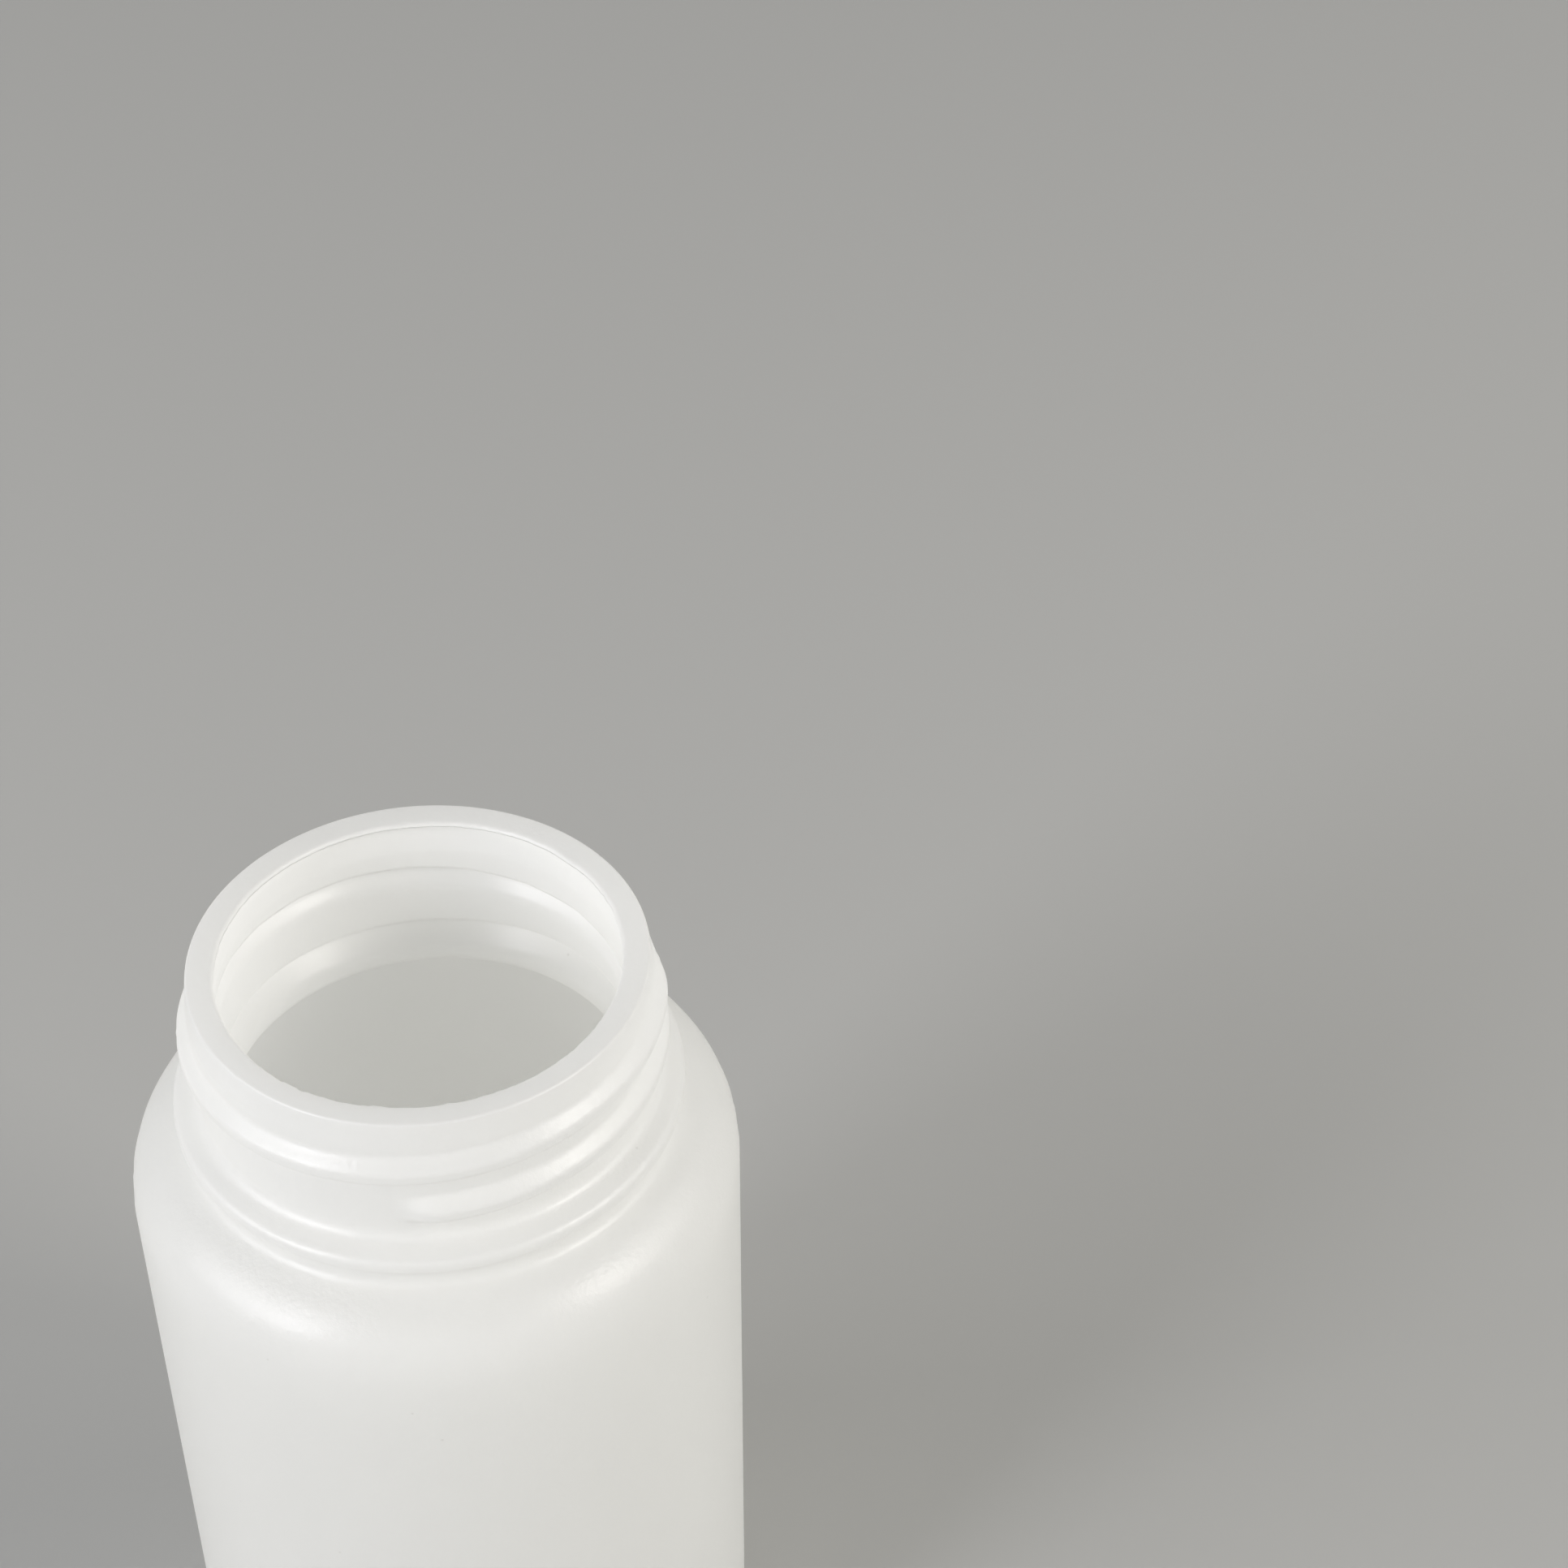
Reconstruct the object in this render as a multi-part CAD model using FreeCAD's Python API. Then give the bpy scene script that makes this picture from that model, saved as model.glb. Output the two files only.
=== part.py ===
import FreeCAD, Part
import math
import os

# Round bottle for tablets, blown in one piece from white polyethylene, with a threaded 38 mm neck.
# Millimetres. The bottle stands on the plane Z = 0, its axis is Z, and its front is towards -Y.
# Depths are measured down from the rim, because the neck and shoulder belong to the finish.

# Body
bottle_height = 86.0
body_diameter = 47.6
body_wall = 1.0
heel_radius = 3.5

# Base: a pushed-up panel inside a flat ring that the bottle stands on
base_wall = 1.3
push_up_height = 1.8
push_up_diameter = 31.0
standing_ring_diameter = 35.0
push_up_radius = 2.2

# Ridge that the mould leaves across the base where it pinches the tube shut
pinch_length = 24.0
pinch_width = 0.7
pinch_height = 0.35

# Shoulder
shoulder_slope = 32.0
shoulder_radius = 6.0
shoulder_wall = 1.3
shoulder_foot_diameter = 35.8
shoulder_foot_depth = 14.3
shoulder_foot_radius = 1.2

# Bead below the thread
bead_diameter = 39.4
bead_top_depth = 11.5
bead_top_drop = 0.4
bead_thickness = 1.2
bead_top_radius = 0.85

# Neck wall, and the rim, which narrows over its last millimetre
neck_diameter = 35.2
mouth_diameter = 30.5
rim_slope_depth = 1.0
rim_slope_width = 0.4
rim_edge_radius = 0.3

# Inner edge that the trimming knife leaves, undercut, and the flare of the bore below it
bore_diameter = 31.1
trim_lip_depth = 0.1
under_lip_depth = 0.65
under_lip_flare = 0.4
flare_foot_depth = 2.9

# Hollow that the blown wall leaves behind the bead, and the foot of the neck inside
bead_hollow = 1.25
bead_hollow_top_depth = 10.3
bead_hollow_depth = 11.7
bead_hollow_radius = 0.9
bead_hollow_foot_depth = 13.9
neck_foot_depth = 15.3

# Thread: one right-handed start, placed by the middle of its upper turn at the front.
# A flank's shape is a list of points from root to crest: share of its width, share of the height.
thread_diameter = 37.1
thread_pitch = 4.23
thread_front_depth = 4.0
thread_crest_width = 1.1
thread_top_flank = 1.0
thread_bottom_flank = 0.45
thread_flank_shape = [(0, 0), (0.5, 0.72), (1, 1)]
thread_begin_angle = -103.0
thread_end_angle = 372.0
thread_begin_fade = 12.0
thread_end_fade = 24.0

# Hollow that follows the thread on the inside, a little above its middle
groove_depth = 0.5
groove_lift = 0.5
groove_width = 0.3
groove_top_flank = 0.85
groove_bottom_flank = 1.9
groove_flank_shape = [(0, 0), (1, 1)]

# How far a helical body reaches into the wall that it joins, or past the wall that it cuts
helix_overlap = 0.5
helix_sink = 0.12
helix_step_angle = 20.0
fade_steps = 4

front_angle = 270.0
body_radius = body_diameter / 2
neck_radius = neck_diameter / 2
mouth_radius = mouth_diameter / 2
bore_radius = bore_diameter / 2
thread_height = (thread_diameter - neck_diameter) / 2


def below_rim(radius, depth):
    """A point of the half section, by its depth below the rim."""
    return FreeCAD.Vector(radius, 0, bottle_height - depth)


def above_base(radius, height):
    """A point of the half section, by its height above the standing plane."""
    return FreeCAD.Vector(radius, 0, height)


def rounded(corner, back, ahead, radius):
    """Arc that rounds a corner between the directions back and ahead of it."""
    half_angle = back.getAngle(ahead) / 2
    reach = radius / math.tan(half_angle)
    middle = corner + (back + ahead).normalize() * (radius / math.sin(half_angle) - radius)
    first = corner + back * reach
    last = corner + ahead * reach
    return first, [Part.Arc(first, middle, last).toShape()], last


def flats_across(corner, back, ahead, radius, count):
    """Equal flats across a corner, each touching the arc that would round it."""
    half_angle = back.getAngle(ahead) / 2
    turn = math.pi - 2 * half_angle
    centre = corner + (back + ahead).normalize() * (radius / math.sin(half_angle))
    to_first = (corner + back * (radius / math.tan(half_angle)) - centre).normalize()
    to_last = (corner + ahead * (radius / math.tan(half_angle)) - centre).normalize()
    points = []
    for step in range(count + 1):
        passed = turn * (step + 0.5) / (count + 1)
        direction = to_first * math.sin(turn - passed) + to_last * math.sin(passed)
        points.append(centre + direction.normalize() * (radius / math.cos(turn / (count + 1) / 2)))
    edges = [Part.makeLine(start, end) for start, end in zip(points, points[1:])]
    return points[0], edges, points[-1]


def bevelled(corner, back, ahead, radius):
    """A corner softened by one flat."""
    return flats_across(corner, back, ahead, radius, 1)


def twice_bevelled(corner, back, ahead, radius):
    """A corner softened by two flats, for small roundings that show."""
    return flats_across(corner, back, ahead, radius, 2)


def sharp(corner, back, ahead, radius):
    """A corner left as it is."""
    return corner, [], corner


def outline(corners):
    """Closed wire through corner points, each given with its softening and the radius of that."""
    edges = []
    start = corners[0][0]
    for (before, _, _), (corner, soften, radius), (after, _, _) in zip(corners, corners[1:], corners[2:]):
        back = (before - corner).normalize()
        ahead = (after - corner).normalize()
        first, across, last = soften(corner, back, ahead, radius)
        edges.append(Part.makeLine(start, first))
        edges.extend(across)
        start = last
    edges.append(Part.makeLine(start, corners[-1][0]))
    edges.append(Part.makeLine(corners[-1][0], corners[0][0]))
    return Part.Wire(edges)


def outer_corners():
    """The outside, from the middle of the base up to the edge of the mouth."""
    slope = math.tan(math.radians(shoulder_slope))
    shoulder_corner_depth = shoulder_foot_depth + (body_radius - shoulder_foot_diameter / 2) * slope
    bead_edge_depth = bead_top_depth + bead_top_drop
    return [
        (above_base(0, push_up_height), sharp, 0),
        (above_base(push_up_diameter / 2, push_up_height), bevelled, push_up_radius),
        (above_base(standing_ring_diameter / 2, 0), sharp, 0),
        (above_base(body_radius, 0), rounded, heel_radius),
        (below_rim(body_radius, shoulder_corner_depth), rounded, shoulder_radius),
        (below_rim(shoulder_foot_diameter / 2, shoulder_foot_depth), bevelled, shoulder_foot_radius),
        (below_rim(bead_diameter / 2, bead_edge_depth + bead_thickness), sharp, 0),
        (below_rim(bead_diameter / 2, bead_edge_depth), twice_bevelled, bead_top_radius),
        (below_rim(neck_radius, bead_top_depth), sharp, 0),
        (below_rim(neck_radius, rim_slope_depth), sharp, 0),
        (below_rim(neck_radius - rim_slope_width, 0), bevelled, rim_edge_radius),
        (below_rim(mouth_radius, 0), sharp, 0),
    ]


def inner_corners():
    """The inside, from the trimmed lip of the mouth down to the middle of the base."""
    slope = math.tan(math.radians(shoulder_slope))
    inner_radius = body_radius - body_wall
    shoulder_drop = shoulder_wall / math.cos(math.radians(shoulder_slope))
    shoulder_run = inner_radius - shoulder_foot_diameter / 2
    inner_shoulder_depth = shoulder_foot_depth + shoulder_drop + shoulder_run * slope
    panel_height = push_up_height + base_wall
    return [
        (below_rim(mouth_radius, trim_lip_depth), sharp, 0),
        (below_rim(bore_radius + under_lip_flare, under_lip_depth), sharp, 0),
        (below_rim(bore_radius, flare_foot_depth), sharp, 0),
        (below_rim(bore_radius, bead_hollow_top_depth), sharp, 0),
        (below_rim(bore_radius + bead_hollow, bead_hollow_depth), bevelled, bead_hollow_radius),
        (below_rim(bore_radius, bead_hollow_foot_depth), sharp, 0),
        (below_rim(bore_radius, neck_foot_depth), sharp, 0),
        (below_rim(inner_radius, inner_shoulder_depth), bevelled, shoulder_radius - body_wall),
        (above_base(inner_radius, base_wall), bevelled, heel_radius - body_wall),
        (above_base(standing_ring_diameter / 2, base_wall), sharp, 0),
        (above_base(push_up_diameter / 2, panel_height), sharp, 0),
        (above_base(0, panel_height), sharp, 0),
    ]


def blown_shell():
    """The plain bottle: one wall, turned about the axis, open at the mouth."""
    section = Part.Face(outline(outer_corners() + inner_corners()))
    return section.revolve(FreeCAD.Vector(0, 0, 0), FreeCAD.Vector(0, 0, 1), 360)


def ease(share):
    """Rises from 0 to 1 with a level start and end."""
    return (1 - math.cos(math.pi * min(max(share, 0), 1))) / 2


def fade(angle):
    """Share of the full height that the thread has at an angle, less near its two ends."""
    after_begin = ease((angle - thread_begin_angle) / thread_begin_fade)
    before_end = ease((thread_end_angle - angle) / thread_end_fade)
    return after_begin * before_end


def section_angles():
    """Where the thread's sections lie: close together in the two fades, and wider apart between."""
    full_begin = thread_begin_angle + thread_begin_fade
    full_span = thread_end_angle - thread_end_fade - full_begin
    full_steps = math.ceil(full_span / helix_step_angle)
    begin = [thread_begin_angle + thread_begin_fade * step / fade_steps for step in range(fade_steps)]
    full = [full_begin + full_span * step / full_steps for step in range(full_steps)]
    end = [thread_end_angle - thread_end_fade * step / fade_steps for step in range(fade_steps, -1, -1)]
    return begin + full + end


def helix_section(angle, front_depth, wall_radius, height, crest_width, flanks, flank_shape, back_radius):
    """Section of a thread or groove at one angle: a ridge with sloping flanks, closed behind."""
    depth = front_depth - thread_pitch * (angle - front_angle) / 360
    top_flank, bottom_flank = flanks
    root_top = depth - crest_width / 2 - top_flank
    root_bottom = depth + crest_width / 2 + bottom_flank
    root_radius = wall_radius - helix_sink
    rise = (height + helix_sink) * fade(angle)
    corners = []
    for across, up in flank_shape:
        corners.append(below_rim(root_radius + rise * up, root_top + top_flank * across))
    for across, up in reversed(flank_shape):
        corners.append(below_rim(root_radius + rise * up, root_bottom - bottom_flank * across))
    corners.append(below_rim(back_radius, root_bottom))
    corners.append(below_rim(back_radius, root_top))
    around = FreeCAD.Rotation(FreeCAD.Vector(0, 0, 1), angle)
    return Part.makePolygon([around.multVec(corner) for corner in corners + corners[:1]])


def helix_body(*form):
    """Solid through the sections from one end of the thread to the other, all of one form."""
    sections = [helix_section(angle, *form) for angle in section_angles()]
    return Part.makeLoft(sections, True, False)


def outer_thread():
    """The raised thread that the cap screws onto."""
    flanks = (thread_top_flank, thread_bottom_flank)
    back_radius = neck_radius - helix_overlap
    return helix_body(
        thread_front_depth, neck_radius, thread_height,
        thread_crest_width, flanks, thread_flank_shape, back_radius
    )


def inner_groove():
    """The soft hollow that the blown wall has behind the thread."""
    front_depth = thread_front_depth - groove_lift
    flanks = (groove_top_flank, groove_bottom_flank)
    back_radius = bore_radius - helix_overlap
    return helix_body(
        front_depth, bore_radius, groove_depth,
        groove_width, flanks, groove_flank_shape, back_radius
    )


def pinch_ridge():
    """The low ridge across the pushed-up panel, along the plane where the mould halves meet."""
    ridge = Part.makeBox(pinch_length, pinch_width, base_wall / 2 + pinch_height)
    ridge.translate(FreeCAD.Vector(-pinch_length / 2, -pinch_width / 2, push_up_height - pinch_height))
    return ridge


def bottle():
    """The whole bottle as one solid."""
    shell = blown_shell().cut(inner_groove())
    return shell.fuse([outer_thread(), pinch_ridge()])


os.makedirs("parts", exist_ok=True)
bottle().exportStep("parts/bottle.step")
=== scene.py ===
import math

import bpy
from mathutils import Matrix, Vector, noise


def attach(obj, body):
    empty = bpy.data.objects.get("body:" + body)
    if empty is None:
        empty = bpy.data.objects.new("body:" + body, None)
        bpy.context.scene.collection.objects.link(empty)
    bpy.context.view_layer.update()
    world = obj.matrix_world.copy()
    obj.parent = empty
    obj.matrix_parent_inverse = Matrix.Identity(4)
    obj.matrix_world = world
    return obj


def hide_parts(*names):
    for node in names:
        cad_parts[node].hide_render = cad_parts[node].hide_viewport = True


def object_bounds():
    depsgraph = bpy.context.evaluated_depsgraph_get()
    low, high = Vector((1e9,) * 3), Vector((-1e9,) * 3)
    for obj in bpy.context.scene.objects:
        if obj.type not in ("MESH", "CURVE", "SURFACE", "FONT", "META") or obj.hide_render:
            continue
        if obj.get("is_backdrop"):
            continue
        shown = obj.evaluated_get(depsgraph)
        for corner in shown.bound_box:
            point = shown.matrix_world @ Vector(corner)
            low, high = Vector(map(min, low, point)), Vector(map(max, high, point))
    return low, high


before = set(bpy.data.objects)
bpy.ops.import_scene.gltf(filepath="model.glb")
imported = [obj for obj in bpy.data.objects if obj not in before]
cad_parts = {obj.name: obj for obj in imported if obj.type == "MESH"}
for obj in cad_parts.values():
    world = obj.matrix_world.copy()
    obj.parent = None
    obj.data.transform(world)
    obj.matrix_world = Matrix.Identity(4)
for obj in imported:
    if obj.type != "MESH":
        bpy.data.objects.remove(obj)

cad_low, cad_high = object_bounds()

# Bottle: one blown shell of white high-density polyethylene. A tube of melt is pinched shut between two
# mould halves and blown against them, so the inside follows the thread and the bead in softer form.
# The neck is cut off square afterwards, which leaves a slightly ragged inner edge.
# Lengths are in millimetres and angles in degrees. Depths are measured down from the rim, and angles run
# from the right side by way of the back.
MM = 0.001
bottle_height = (cad_high.z - cad_low.z) / MM
body_radius = (cad_high.x - cad_low.x) / 2 / MM
body_wall = 1.0
heel_radius = 3.5

base_wall = 1.3
push_up_height = 1.8
push_up_radius = 15.5
push_up_rounding = 2.2
standing_ring_radius = 17.5
innermost_radius = 0.5
pinch_length = 24.0
pinch_width = 0.7
pinch_height = 0.35
parting_height = 0.05
parting_half_width = 6

shoulder_slope = math.radians(32)
shoulder_rounding = 6.0
shoulder_wall = 1.3
shoulder_foot_radius = 17.9
shoulder_foot_depth = 14.3

bead_radius = 19.7
bead_top_depth = 11.3
bead_edge_depth = 12.2
bead_bottom_depth = 13.1
bead_top_width = 1

neck_radius = 17.6
plain_neck_depth = 10.0
plain_rim_depth = 0.3
mouth_radius = 15.25
bore_radius = 15.55
rim_edge_radius = 17.3
rim_slope_depth = 2.2
land_radius = 16.7
land_drop = 0.2
lip_rounding = 0.35
lip_depth = 0.5
lip_edge_height = 0.04
under_lip_radius = 16.2
under_lip_depth = 0.95
under_lip_foot_radius = 15.9
under_lip_foot_depth = 1.9
bore_top_depth = 3.3

bead_hollow_top_depth = 10.3
bead_hollow_depth = 11.6
bead_hollow_radius = 17.2
bead_hollow_foot_depth = 13.7
neck_foot_depth = 15.3
neck_foot_widening = 0.1
hollow_sag = 0.35
sag_top_depth = 9
sag_top_fade = 1.2
sag_foot_depth = 16
sag_foot_fade = 3

thread_height = 0.95
thread_pitch = 4.23
thread_front_depth = 4.35
thread_crest = 0.45
thread_top_flank = 1.45
thread_bottom_flank = 1.1
thread_fullness = 0.85
thread_begin = -103
thread_end = 372
begin_fade = 12
end_fade = 24
front_angle = 270
back_angle = 90

groove_depth = 0.9
groove_lift = 0.9
groove_crest = 0.2
groove_top_flank = 0.45
groove_bottom_flank = 1.9
groove_levelling = 1.3

# Nicks and flakes that the trimming knife left: the angle, the half width, and how far inwards they stand.
# A nick, which is cut out of the edge, has a length below 0.
trim_flaws = [
    (-134, 1.5, -0.12),
    (-127, 1.5, -0.14),
    (-105, 5, 0.1),
    (-86, 2.5, 0.14),
    (38, 6, 0.08),
    (120, 5, 0.08),
]
# The knife's unsteadiness: how far it strays, how many waves there are, and where the noise is sampled
trim_waves = [(0.05, 4, 0.5), (0.06, 40, 3.5)]
trimmed_below_lip = 0.1
trim_fade = 1.2

# How fine the mesh is: the columns around it, and the most that an arc turns between two points
columns = 288
arc_turn = math.radians(13)


def ease(share):
    """Rises from 0 to 1 with a level start and end."""
    return (1 - math.cos(math.pi * min(max(share, 0), 1))) / 2


def below_rim(radius, depth, rounding=0, spacing=1.5):
    """A corner of the half section, by its depth below the rim."""
    return radius, bottle_height - depth, rounding, spacing


def above_base(radius, height, rounding=0, spacing=1.5):
    """A corner of the half section, by its height above the floor."""
    return radius, height, rounding, spacing


def rounded_line(corners):
    """Points along straight runs and arcs. A corner holds its rounding and the spacing of the run to it."""
    points = [Vector(corners[0][:2])]
    for number in range(1, len(corners)):
        corner = Vector(corners[number][:2])
        rounding, spacing = corners[number][2:]
        turn_points = [corner]
        if rounding and number + 1 < len(corners):
            back = (Vector(corners[number - 1][:2]) - corner).normalized()
            ahead = (Vector(corners[number + 1][:2]) - corner).normalized()
            half_angle = back.angle(ahead) / 2
            turn = math.pi - 2 * half_angle
            centre = corner + (back + ahead).normalized() * (rounding / math.sin(half_angle))
            to_first = (corner + back * (rounding / math.tan(half_angle)) - centre).normalized()
            to_last = (corner + ahead * (rounding / math.tan(half_angle)) - centre).normalized()
            steps = max(3, math.ceil(turn / arc_turn))
            turn_points = []
            for step in range(steps + 1):
                passed = turn * step / steps
                direction = to_first * math.sin(turn - passed) + to_last * math.sin(passed)
                turn_points.append(centre + direction.normalized() * rounding)
        run = turn_points[0] - points[-1]
        pieces = max(1, round(run.length / spacing))
        start = points[-1]
        points += [start + run * step / pieces for step in range(1, pieces)]
        points += turn_points
    return points


slope = math.tan(shoulder_slope)
shoulder_corner_depth = shoulder_foot_depth + (body_radius - shoulder_foot_radius) * slope
outside = rounded_line([
    above_base(innermost_radius, push_up_height),
    above_base(push_up_radius, push_up_height, push_up_rounding, 2.5),
    above_base(standing_ring_radius, 0, 0.5, 0.7),
    above_base(body_radius, 0, heel_radius),
    below_rim(body_radius, shoulder_corner_depth, shoulder_rounding, 4),
    below_rim(shoulder_foot_radius, shoulder_foot_depth, 1.2, 0.4),
    below_rim(bead_radius, bead_bottom_depth, 0.3, 0.3),
    below_rim(bead_radius, bead_edge_depth, 0.8, 0.3),
    below_rim(neck_radius, bead_top_depth, 1.3, 0.3),
    below_rim(neck_radius, plain_neck_depth, 0, 0.3),
    below_rim(neck_radius, rim_slope_depth, 3.0, 0.12),
    below_rim(rim_edge_radius, 0, 0.22, 0.4),
    below_rim(land_radius, 0, 3.0, 0.3),
    below_rim(mouth_radius, land_drop, lip_rounding, 0.2),
    below_rim(mouth_radius, lip_depth),
])
inner_radius = body_radius - body_wall
inner_shoulder_depth = (shoulder_foot_depth + shoulder_wall / math.cos(shoulder_slope)
                        + (inner_radius - shoulder_foot_radius) * slope)
panel_height = push_up_height + base_wall
inside = rounded_line([
    below_rim(mouth_radius, lip_depth + lip_edge_height),
    below_rim(under_lip_radius, under_lip_depth, 0.12, 0.1),
    below_rim(under_lip_foot_radius, under_lip_foot_depth, 0.8, 0.15),
    below_rim(bore_radius, bore_top_depth, 2.0, 0.2),
    below_rim(bore_radius, bead_hollow_top_depth, 0.2, 0.2),
    below_rim(bead_hollow_radius, bead_hollow_depth, 0.4, 0.2),
    below_rim(bore_radius, bead_hollow_foot_depth, 1.6, 0.2),
    below_rim(bore_radius + neck_foot_widening, neck_foot_depth, 1.2, 0.3),
    below_rim(inner_radius, inner_shoulder_depth, shoulder_rounding - body_wall, 0.8),
    above_base(inner_radius, base_wall, heel_radius - body_wall, 4),
    above_base(standing_ring_radius, base_wall, 0.5, 1.0),
    above_base(push_up_radius, panel_height, push_up_rounding, 0.7),
    above_base(innermost_radius, panel_height, 0, 2.5),
])


def thread_flank(share, is_above):
    """Height of the thread's flank: both sides swell out of the wall, the lower one a little fuller."""
    return ease(share) if is_above else ease(share ** thread_fullness)


def groove_flank(share, is_above):
    """Height of the hollow's flank: a sharp step above, and a slope below that levels out slowly."""
    return ease(share) if is_above else ease(share ** groove_levelling)


def ridge(depth, angle, height, crest, top_flank, bottom_flank, flank):
    """How far the thread, or the hollow behind it, stands out at a depth and an angle in degrees."""
    out = 0
    for turn in (-360, 0, 360):
        at = angle + turn
        if not thread_begin < at < thread_end:
            continue
        faded = ease((at - thread_begin) / begin_fade) * ease((thread_end - at) / end_fade)
        middle = thread_front_depth - thread_pitch * (at - front_angle) / 360
        above = middle - crest / 2 - depth
        below = depth - middle - crest / 2
        share = max(1 - max(above / top_flank, below / bottom_flank, 0), 0)
        out = max(out, height * faded * flank(share, above > below))
    return out


def trim_flaw(angle):
    """How far the knife that opened the mouth left its inner edge out of round, at an angle in degrees."""
    turned = math.radians(angle)
    flaw = 0
    for strays, waves, sampled_at in trim_waves:
        flaw += strays * noise.noise(Vector((waves * math.cos(turned), waves * math.sin(turned), sampled_at)))
    for middle, half_width, inwards in trim_flaws:
        off = abs((angle - middle + 180) % 360 - 180) / half_width
        flaw -= inwards * ease(1 - off)
    return flaw


def parting(angle):
    """Height of the fine line that the meeting faces of the mould leave on two sides, in a slight dip."""
    off = abs((angle + 90) % 180 - 90)
    return -parting_height * ease(1 - off / parting_half_width) if off else 0


def skin(line, lift, *form):
    """Rings of points, one to each point of the line, with the thread or the hollow behind it."""
    rings = []
    for radius, level in line:
        depth = bottle_height - level
        on_neck = plain_rim_depth < depth < bead_top_depth and radius < bead_radius - bead_top_width
        trimmed = depth < lip_depth + trimmed_below_lip and radius < mouth_radius + lip_rounding
        ring = []
        for column in range(columns):
            angle = 360 * column / columns
            out = ridge(depth + lift, angle, *form) if on_neck else 0
            if line is outside and level > heel_radius and depth > rim_slope_depth:
                out += parting(angle)
            if trimmed:
                out = trim_flaw(angle) * ease(trim_fade - (radius - mouth_radius) / lip_rounding)
            sag = 0
            if line is inside and sag_top_depth < depth < sag_foot_depth:
                faded = ease((depth - sag_top_depth) / sag_top_fade)
                faded *= ease((sag_foot_depth - depth) / sag_foot_fade)
                sag = hollow_sag * math.cos(math.radians(2 * (angle - back_angle))) * faded
            turned = math.radians(angle)
            reach = (radius + out) * MM
            ring.append((reach * math.cos(turned), reach * math.sin(turned), (level - sag) * MM))
        rings.append(ring)
    return rings


rings = skin(outside, 0, thread_height, thread_crest,
             thread_top_flank, thread_bottom_flank, thread_flank)
outside_rows = len(rings)
rings += skin(inside, groove_lift, groove_depth, groove_crest,
              groove_top_flank, groove_bottom_flank, groove_flank)
points = [point for ring in rings for point in ring]
faces = []
for row in range(len(rings) - 1):
    for column in range(columns):
        after = (column + 1) % columns
        low, high = row * columns, (row + 1) * columns
        faces.append((low + column, low + after, high + after, high + column))
under_middle, inside_middle = len(points), len(points) + 1
points += [(0, 0, push_up_height * MM), (0, 0, panel_height * MM)]
last = (len(rings) - 1) * columns
for column in range(columns):
    after = (column + 1) % columns
    faces.append((inside_middle, last + column, last + after))
for column in range(columns):
    after = (column + 1) % columns
    faces.append((under_middle, after, column))

# The ridge under the base where the mould pinched the tube shut: a low bar with round sides and ends. Its
# profile is in shares of its width and height.
pinch_profile = [(-0.5, -0.2), (-0.44, 0.6), (-0.25, 1), (0.25, 1), (0.44, 0.6), (0.5, -0.2)]
pinch_rows = 49
end_bluntness = 20
end_width = 0.2
sides = len(pinch_profile)
first_of_pinch = len(points)
for row in range(pinch_rows):
    along = 2 * row / (pinch_rows - 1) - 1
    swell = max((1 - along ** end_bluntness) ** 0.5, end_width)
    for across, hang in pinch_profile:
        hang_depth = hang * pinch_height * (swell if hang > 0 else 1)
        points.append((along * pinch_length / 2 * MM, across * pinch_width * swell * MM,
                       (push_up_height - hang_depth) * MM))
for row in range(pinch_rows - 1):
    for side in range(sides):
        low, high = first_of_pinch + row * sides, first_of_pinch + (row + 1) * sides
        after = (side + 1) % sides
        faces.append((low + side, low + after, high + after, high + side))
faces.append(tuple(first_of_pinch + side for side in reversed(range(sides))))
faces.append(tuple(first_of_pinch + (pinch_rows - 1) * sides + side for side in range(sides)))
shell = bpy.data.meshes.new("blown_bottle")
shell.from_pydata(points, [], faces)
shell.shade_smooth()
bottle = bpy.data.objects.new("blown_bottle", shell)
bpy.context.scene.collection.objects.link(bottle)


def linear(hex_colour):
    """A colour written as sRGB hex, as the linear values that a shader takes."""
    channels = [int(hex_colour[place:place + 2], 16) / 255 for place in (1, 3, 5)]
    return [c / 12.92 if c <= 0.04045 else ((c + 0.055) / 1.055) ** 2.4 for c in channels] + [1]


def add_node(tree, kind, settings=None, **inputs):
    """Adds a node, with its settings, and with each input's value or the socket that feeds it."""
    node = tree.nodes.new(kind)
    for name, value in (settings or {}).items():
        setattr(node, name, value)
    for name, value in inputs.items():
        socket = node.inputs[name.replace("_", " ")]
        if isinstance(value, bpy.types.NodeSocket):
            tree.links.new(value, socket)
        else:
            socket.default_value = value
    return node


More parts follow.
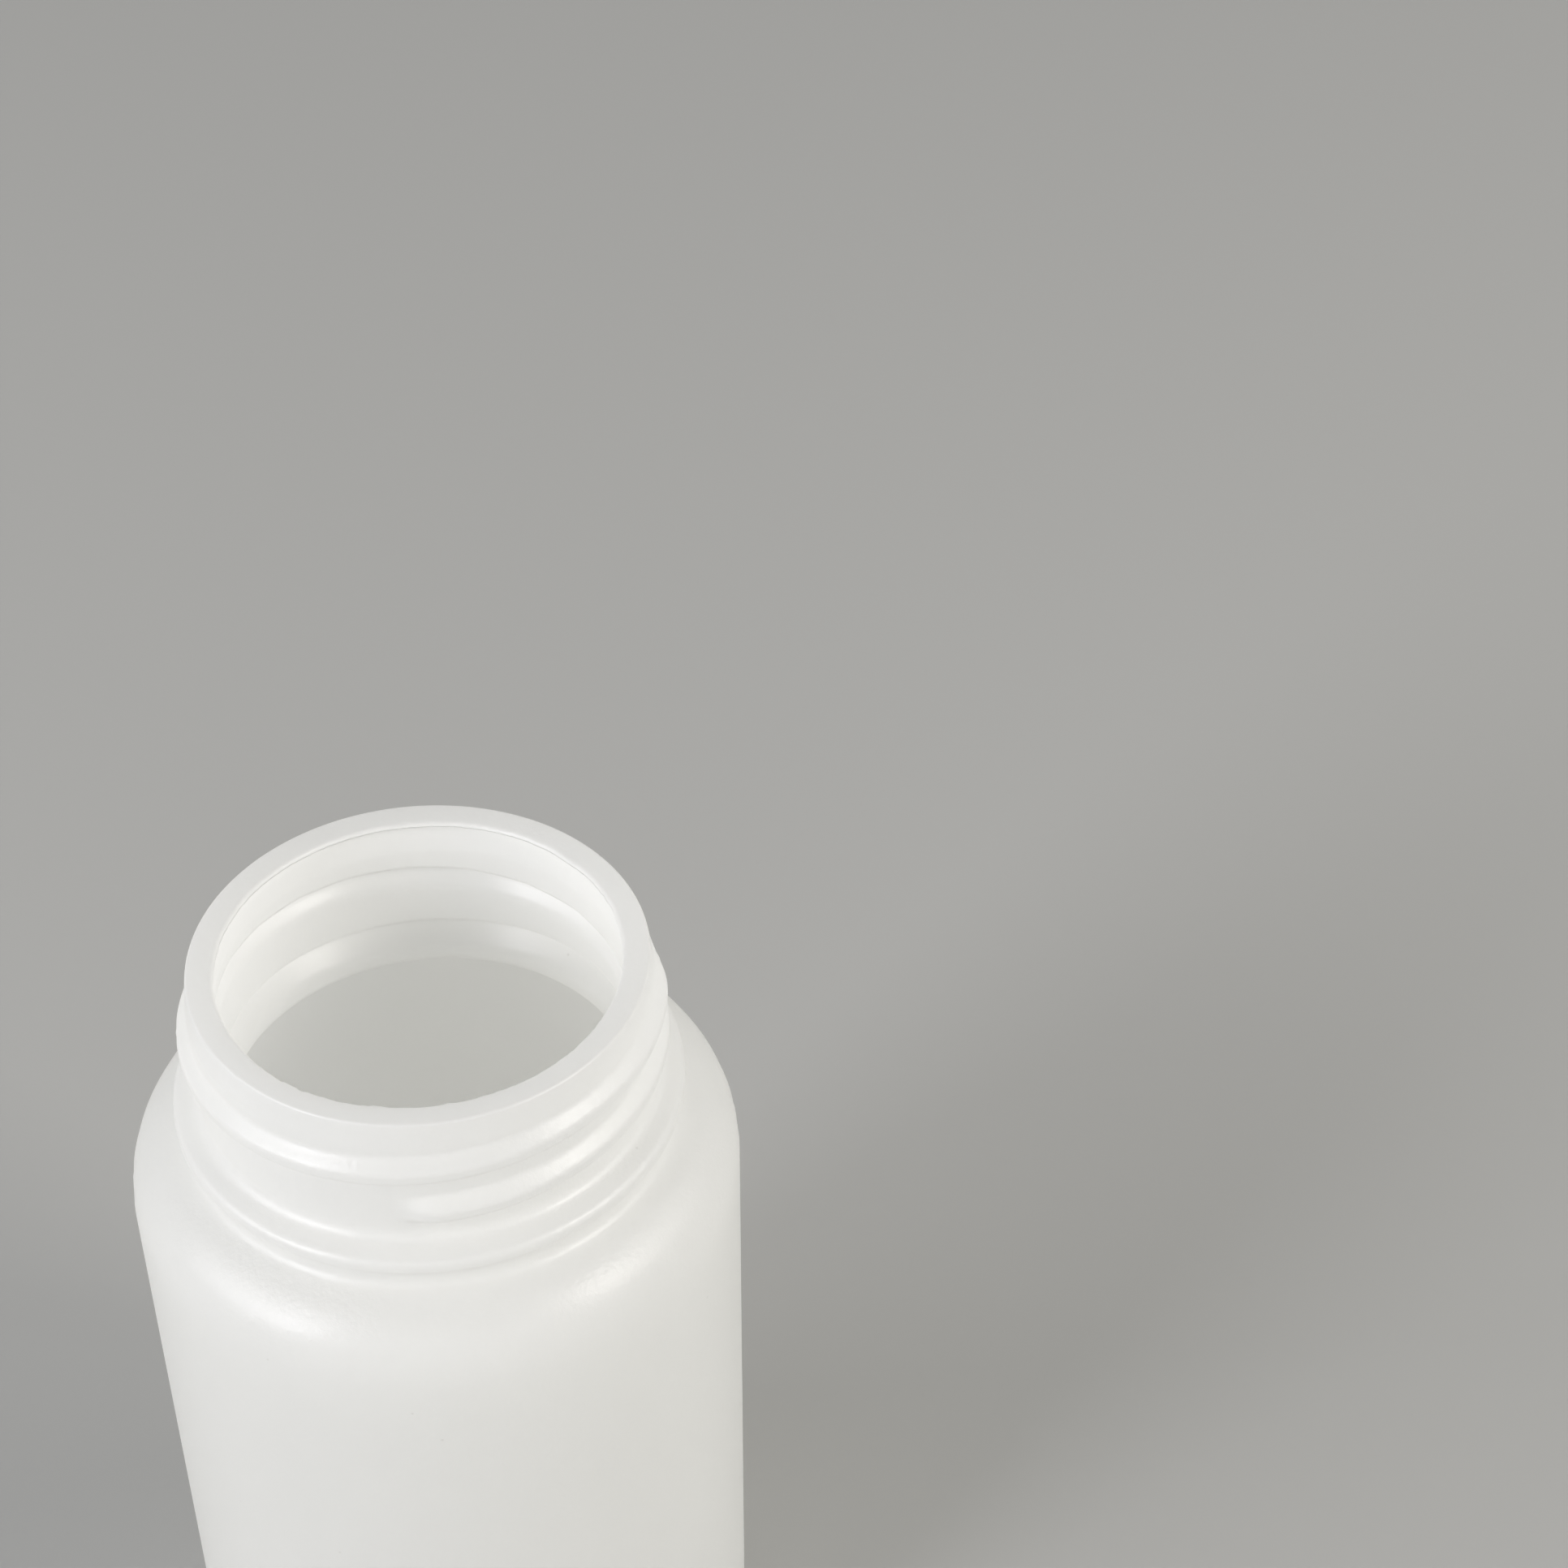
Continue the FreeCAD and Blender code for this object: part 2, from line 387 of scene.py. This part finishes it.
def polyethylene(name, darker, paler, roughest, smoothest, relief):
    """White polyethylene that lets some light through, more in the thin body than in the neck."""
    # Grain and specks are drawn coarser than they are, because finer ones would be lost in the picture
    grain_size, mottle_size, speck_spacing = 0.5 * MM, 3 * MM, 5 * MM
    speck_edge, speck_core, speck_strength = 0.03, 0.015, 0.3
    body_top, neck_bottom = 67 * MM, 75 * MM
    through_body, through_neck = 0.55, 0.5
    material = bpy.data.materials.new(name)
    material.use_nodes = True
    tree = material.node_tree
    tree.nodes.clear()
    place = add_node(tree, "ShaderNodeTexCoord").outputs["Object"]
    grain = add_node(tree, "ShaderNodeTexNoise", Vector=place, Scale=1 / grain_size,
                     Detail=3.0, Roughness=0.6)
    mottle = add_node(tree, "ShaderNodeTexNoise", Vector=place, Scale=1 / mottle_size,
                      Detail=2.0, Roughness=0.5)
    bump = add_node(tree, "ShaderNodeBump", Strength=1.0, Distance=relief * MM,
                    Height=grain.outputs["Fac"])
    tint = add_node(tree, "ShaderNodeMix", {"data_type": "RGBA"})
    tree.links.new(mottle.outputs["Fac"], tint.inputs["Factor"])
    tint.inputs["A"].default_value = linear(darker)
    tint.inputs["B"].default_value = linear(paler)
    specks = add_node(tree, "ShaderNodeTexVoronoi", Vector=place, Scale=1 / speck_spacing)
    near_speck = add_node(tree, "ShaderNodeMapRange", Value=specks.outputs["Distance"])
    near_speck.inputs["From Min"].default_value = speck_edge
    near_speck.inputs["From Max"].default_value = speck_core
    near_speck.inputs["To Max"].default_value = speck_strength
    specked = add_node(tree, "ShaderNodeMix", {"data_type": "RGBA"})
    tree.links.new(near_speck.outputs["Result"], specked.inputs["Factor"])
    tree.links.new(tint.outputs["Result"], specked.inputs["A"])
    specked.inputs["B"].default_value = linear("#8C8A84")
    gloss = add_node(tree, "ShaderNodeMapRange", Value=grain.outputs["Fac"])
    gloss.inputs["To Min"].default_value = smoothest
    gloss.inputs["To Max"].default_value = roughest
    shader = add_node(tree, "ShaderNodeBsdfPrincipled", Base_Color=specked.outputs["Result"],
                      Roughness=gloss.outputs["Result"], Normal=bump.outputs["Normal"])
    shader.inputs["IOR"].default_value = 1.54
    shader.inputs["Specular IOR Level"].default_value = 0.85
    through = add_node(tree, "ShaderNodeBsdfTranslucent", Color=linear("#FBFBF9"))
    height = add_node(tree, "ShaderNodeSeparateXYZ", Vector=place)
    thinness = add_node(tree, "ShaderNodeMapRange", {"interpolation_type": "SMOOTHSTEP"},
                        Value=height.outputs["Z"])
    thinness.inputs["From Min"].default_value = body_top
    thinness.inputs["From Max"].default_value = neck_bottom
    thinness.inputs["To Min"].default_value = through_body
    thinness.inputs["To Max"].default_value = through_neck
    wall = add_node(tree, "ShaderNodeMixShader", Fac=thinness.outputs["Result"])
    tree.links.new(shader.outputs["BSDF"], wall.inputs[1])
    tree.links.new(through.outputs["BSDF"], wall.inputs[2])
    add_node(tree, "ShaderNodeOutputMaterial", Surface=wall.outputs["Shader"])
    return material


# Blown polyethylene, pigmented white. Outside it takes the blasted mould's fine grain, which leaves it
# semi-matte. Inside, only air pressed on it, so it is smoother; its colour is set a shade paler as painted
# light.
shell.materials.append(
    polyethylene("mould_side_of_blown_white_polyethylene", "#F8F8F7", "#FBFBFA", 0.36, 0.26, 0.045))
# The inside's colours are a shade paler than the outside's: painted light on the shaded inside walls.
shell.materials.append(
    polyethylene("air_side_of_blown_white_polyethylene_painted_paler", "#FAFAF9", "#FCFCFB", 0.36, 0.28, 0.012))
for number in range(outside_rows * columns, len(rings) * columns):
    shell.polygons[number].material_index = 1
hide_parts("bottle")
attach(bottle, "root")

# Floor: a wide pale grey sheet that the bottle stands on, plain and matt, well past the camera's view.
floor_half = 2.0
floor_mesh = bpy.data.meshes.new("floor")
floor_mesh.from_pydata([(-floor_half, -floor_half, 0), (floor_half, -floor_half, 0),
                        (floor_half, floor_half, 0), (-floor_half, floor_half, 0)], [], [(0, 1, 2, 3)])
floor = bpy.data.objects.new("floor", floor_mesh)
bpy.context.scene.collection.objects.link(floor)
paper = bpy.data.materials.new("matt_grey_paper")
paper.use_nodes = True
paper_shader = paper.node_tree.nodes["Principled BSDF"]
paper_shader.inputs["Base Color"].default_value = linear("#B9B9B6")
paper_shader.inputs["Roughness"].default_value = 0.9
floor_mesh.materials.append(paper)
floor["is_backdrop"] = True

# Light: soft and plain, from a broad lamp on each side, two small ones on the left, a small one on the right
# and an even sky that is dark overhead.
aim_height = 0.06


def soft_lamp(name, place, width, height, power, colour):
    """A rectangular lamp that faces the neck of the bottle."""
    lamp = bpy.data.lights.new(name, "AREA")
    lamp.shape = "RECTANGLE"
    lamp.size = width
    lamp.size_y = height
    lamp.energy = power
    lamp.color = linear(colour)[:3]
    holder = bpy.data.objects.new(name, lamp)
    bpy.context.scene.collection.objects.link(holder)
    holder.location = place
    aim = Vector((0, 0, aim_height)) - Vector(place)
    holder.rotation_euler = aim.to_track_quat("-Z", "Y").to_euler()


soft_lamp("left_softbox", (-0.88, -0.3, 0.42), 0.75, 0.5, 4.2, "#FAFAFF")
soft_lamp("right_softbox", (0.86, -0.3, 0.5), 0.75, 0.5, 2.7, "#FFFBF6")
soft_lamp("left_lamp", (-0.77, -0.54, 0.42), 0.25, 0.25, 1.3, "#FAFAFF")
soft_lamp("high_left_lamp", (-0.65, -0.46, 0.62), 0.25, 0.25, 0.8, "#FAFAFF")
soft_lamp("right_lamp", (0.69, -0.48, 0.62), 0.3, 0.3, 2.3, "#FFFBF6")
world = bpy.data.worlds.new("even_sky")
bpy.context.scene.world = world
world.use_nodes = True
sky = world.node_tree
sky.nodes["Background"].inputs["Color"].default_value = linear("#FFFFFF")
direction = add_node(sky, "ShaderNodeTexCoord")
upward = add_node(sky, "ShaderNodeSeparateXYZ", Vector=direction.outputs["Generated"])
band = add_node(sky, "ShaderNodeValToRGB", Fac=upward.outputs["Z"])
band.color_ramp.elements[0].position = 0.0
band.color_ramp.elements[0].color = (0.7, 0.7, 0.7, 1)
band.color_ramp.elements[1].position = 1.0
band.color_ramp.elements[1].color = (0.0, 0.0, 0.0, 1)
for level, strength in ((0.25, 0.7), (0.38, 0.84), (0.65, 0.84), (0.75, 0.0)):
    stop = band.color_ramp.elements.new(level)
    stop.color = (strength, strength, strength, 1)
sky.links.new(band.outputs["Color"], sky.nodes["Background"].inputs["Strength"])

# Camera: in front of the bottle and 43 degrees above its rim, turned so that the bottle stands low on the
# left.
camera_data = bpy.data.cameras.new("camera")
camera_data.sensor_width = 36
camera_data.lens = 71.5
camera = bpy.data.objects.new("camera", camera_data)
bpy.context.scene.collection.objects.link(camera)
camera.location = (0, -0.17064, 0.24656)
camera.rotation_euler = (math.radians(49.55), math.radians(-0.1), math.radians(-9.1))
camera_data.clip_start = 0.01
bpy.context.scene.camera = camera

# Colours come out as they are set. Light bounces more often than usual, because the bottle is white inside.
bpy.context.scene.view_settings.view_transform = "Standard"
bpy.context.scene.cycles.diffuse_bounces = 12

low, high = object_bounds()
